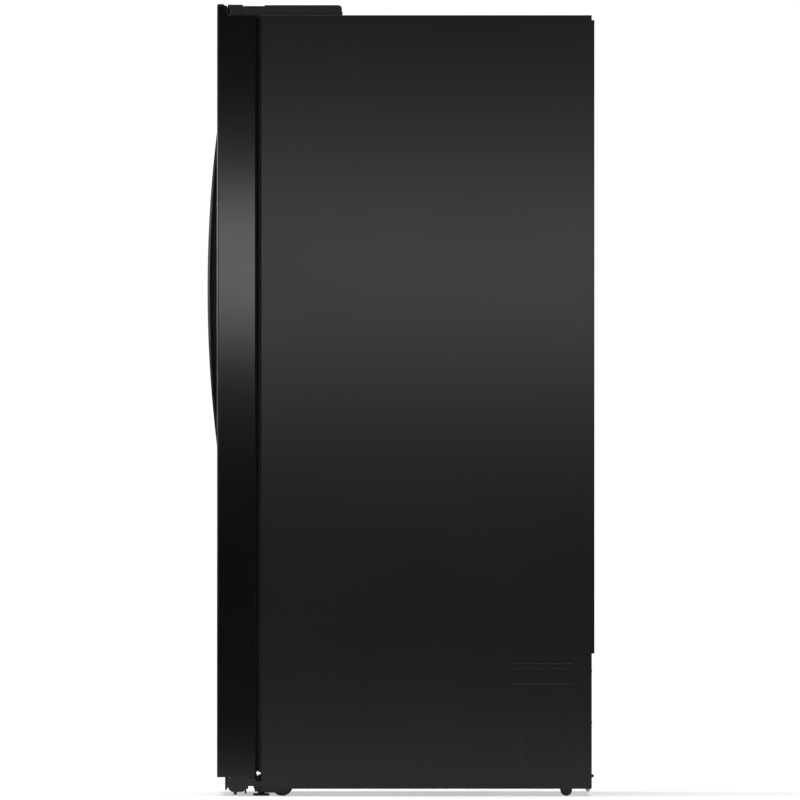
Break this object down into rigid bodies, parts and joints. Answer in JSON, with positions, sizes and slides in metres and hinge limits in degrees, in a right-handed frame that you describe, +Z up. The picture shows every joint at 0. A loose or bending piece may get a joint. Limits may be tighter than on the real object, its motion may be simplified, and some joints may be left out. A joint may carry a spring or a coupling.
{
  "type": "side-by-side french door refrigerator",
  "caption": "Tall two-door refrigerator with full-height French-style doors, bowed handles, a door dispenser, shelves, drawers, rollers and levelling feet.",
  "frame": {"origin": "centre of the footprint, on the floor", "axes": "+Z up, +X to the right as seen from the front, +Y to the back; the doors face -Y"},
  "size_m": [0.908, 0.87, 1.775],
  "materials": {
    "painted_case": "satin black baked enamel with a fine leather-grain texture",
    "gloss_door": "high-gloss black baked enamel",
    "handle_gloss": "gloss black moulded plastic",
    "zinc_steel": "bright zinc-plated steel",
    "coil_metal": "drawn tube",
    "insulation": null,
    "liner_plastic": "semi-gloss white vacuum-formed plastic",
    "wire_coating": "white epoxy-coated wire",
    "black_plastic": "matt black moulded plastic",
    "black_enamel": "semi-gloss black enamel",
    "shelf_glass": "clear tempered glass",
    "clear_plastic": "clear moulded plastic",
    "seal_rubber": "soft black magnetic seal",
    "button_metal": "satin aluminium",
    "roller_nylon": "black nylon"
  },
  "bodies": {
    "cabinet": {"outer_wrapper": "painted_case", "back_panel": "painted_case", "base_pan": "zinc_steel", "cabinet_foam": "insulation", "freezer_liner": "liner_plastic", "fridge_liner": "liner_plastic", "mullion_cover": "painted_case", "toe_grille": "black_plastic", "hinges": "black_enamel", "hinge_covers": "black_plastic", "roller_brackets": "black_enamel", "compressor": "black_enamel", "condenser_coil": "coil_metal", "fan_shroud": "black_plastic", "drain_pan": "black_plastic", "machine_cover": "black_plastic", "screws": "black_enamel", "shelf_frames": "liner_plastic", "shelf_glass": "shelf_glass", "freezer_shelves": "wire_coating", "ice_maker": "liner_plastic", "evaporator_coil": "coil_metal", "evaporator_cover": "liner_plastic", "air_duct": "liner_plastic", "control_housing": "liner_plastic"},
    "fridge_door": {"fridge_door_skin": "gloss_door", "fridge_door_foam": "insulation", "fridge_door_liner": "liner_plastic", "fridge_door_seal": "seal_rubber", "fridge_door_caps": "black_plastic", "fridge_handle_bow": "handle_gloss", "fridge_handle_base": "black_plastic", "fridge_door_bins": "clear_plastic"},
    "freezer_door": {"freezer_door_skin": "gloss_door", "freezer_door_foam": "insulation", "freezer_door_liner": "liner_plastic", "freezer_door_seal": "seal_rubber", "freezer_door_caps": "black_plastic", "freezer_handle_bow": "handle_gloss", "freezer_handle_base": "black_plastic", "freezer_door_bins": "clear_plastic", "dispenser_housing": "black_plastic", "dispenser_panel": "handle_gloss", "drip_tray": "black_plastic", "badge": "button_metal"},
    "dairy_lid": {"dairy_lid": "clear_plastic"},
    "dispenser_paddle": {"dispenser_paddle": "black_plastic"},
    "water_button": {"water_button": "button_metal"},
    "cubed_button": {"cubed_button": "button_metal"},
    "crushed_button": {"crushed_button": "button_metal"},
    "upper_crisper": {"upper_crisper": "clear_plastic"},
    "lower_crisper": {"lower_crisper": "clear_plastic"},
    "freezer_basket": {"freezer_basket": "clear_plastic"},
    "ice_bucket": {"ice_bucket": "clear_plastic"},
    "left_front_roller": {"left_front_roller": "roller_nylon"},
    "right_front_roller": {"right_front_roller": "roller_nylon"},
    "rear_rollers": {"rear_rollers": "roller_nylon"},
    "condenser_fan": {"condenser_fan": "black_plastic"},
    "left_levelling_foot": {"left_levelling_foot": "black_enamel"},
    "right_levelling_foot": {"right_levelling_foot": "black_enamel"}
  },
  "joints": [
    {"name": "fridge_door_hinge", "type": "hinge", "parent": "cabinet", "child": "fridge_door", "pos_m": [0.44, -0.37, 0.875], "axis": [0, 0, 1], "range_deg": [0, 115]},
    {"name": "freezer_door_hinge", "type": "hinge", "parent": "cabinet", "child": "freezer_door", "pos_m": [-0.44, -0.37, 0.875], "axis": [0, 0, -1], "range_deg": [0, 115]},
    {"name": "dairy_lid_hinge", "type": "hinge", "parent": "fridge_door", "child": "dairy_lid", "pos_m": [0.1875, -0.228, 1.646], "axis": [1, 0, 0], "range_deg": [0, 80]},
    {"name": "paddle_hinge", "type": "hinge", "parent": "freezer_door", "child": "dispenser_paddle", "pos_m": [-0.261, -0.37, 1.224], "axis": [1, 0, 0], "range_deg": [0, 9], "stiffness_Nm_per_rad": 0.5},
    {"name": "water_button_press", "type": "slide", "parent": "freezer_door", "child": "water_button", "axis": [0, 1, 0], "range_m": [0, 0.0015], "stiffness_N_per_m": 800},
    {"name": "cubed_button_press", "type": "slide", "parent": "freezer_door", "child": "cubed_button", "axis": [0, 1, 0], "range_m": [0, 0.0015], "stiffness_N_per_m": 800},
    {"name": "crushed_button_press", "type": "slide", "parent": "freezer_door", "child": "crushed_button", "axis": [0, 1, 0], "range_m": [0, 0.0015], "stiffness_N_per_m": 800},
    {"name": "upper_crisper_slide", "type": "slide", "parent": "cabinet", "child": "upper_crisper", "axis": [0, -1, 0], "range_m": [0, 0.08]},
    {"name": "lower_crisper_slide", "type": "slide", "parent": "cabinet", "child": "lower_crisper", "axis": [0, -1, 0], "range_m": [0, 0.08]},
    {"name": "freezer_basket_slide", "type": "slide", "parent": "cabinet", "child": "freezer_basket", "axis": [0, -1, 0], "range_m": [0, 0.08]},
    {"name": "ice_bucket_slide", "type": "slide", "parent": "cabinet", "child": "ice_bucket", "axis": [0, -1, 0], "range_m": [0, 0.08]},
    {"name": "left_front_roller_spin", "type": "hinge", "parent": "cabinet", "child": "left_front_roller", "pos_m": [-0.404, -0.265, 0.024], "axis": [1, 0, 0], "continuous": true},
    {"name": "right_front_roller_spin", "type": "hinge", "parent": "cabinet", "child": "right_front_roller", "pos_m": [0.404, -0.265, 0.024], "axis": [1, 0, 0], "continuous": true},
    {"name": "rear_rollers_spin", "type": "hinge", "parent": "cabinet", "child": "rear_rollers", "pos_m": [0, 0.372, 0.013], "axis": [1, 0, 0], "continuous": true},
    {"name": "condenser_fan_spin", "type": "hinge", "parent": "cabinet", "child": "condenser_fan", "pos_m": [-0.135, 0.3315, 0.15], "axis": [1, 0, 0], "continuous": true},
    {"name": "left_levelling_foot_turn", "type": "hinge", "parent": "cabinet", "child": "left_levelling_foot", "pos_m": [-0.404, -0.312, 0.01], "axis": [0, 0, 1], "continuous": true},
    {"name": "right_levelling_foot_turn", "type": "hinge", "parent": "cabinet", "child": "right_levelling_foot", "pos_m": [0.404, -0.312, 0.01], "axis": [0, 0, 1], "continuous": true}
  ]
}
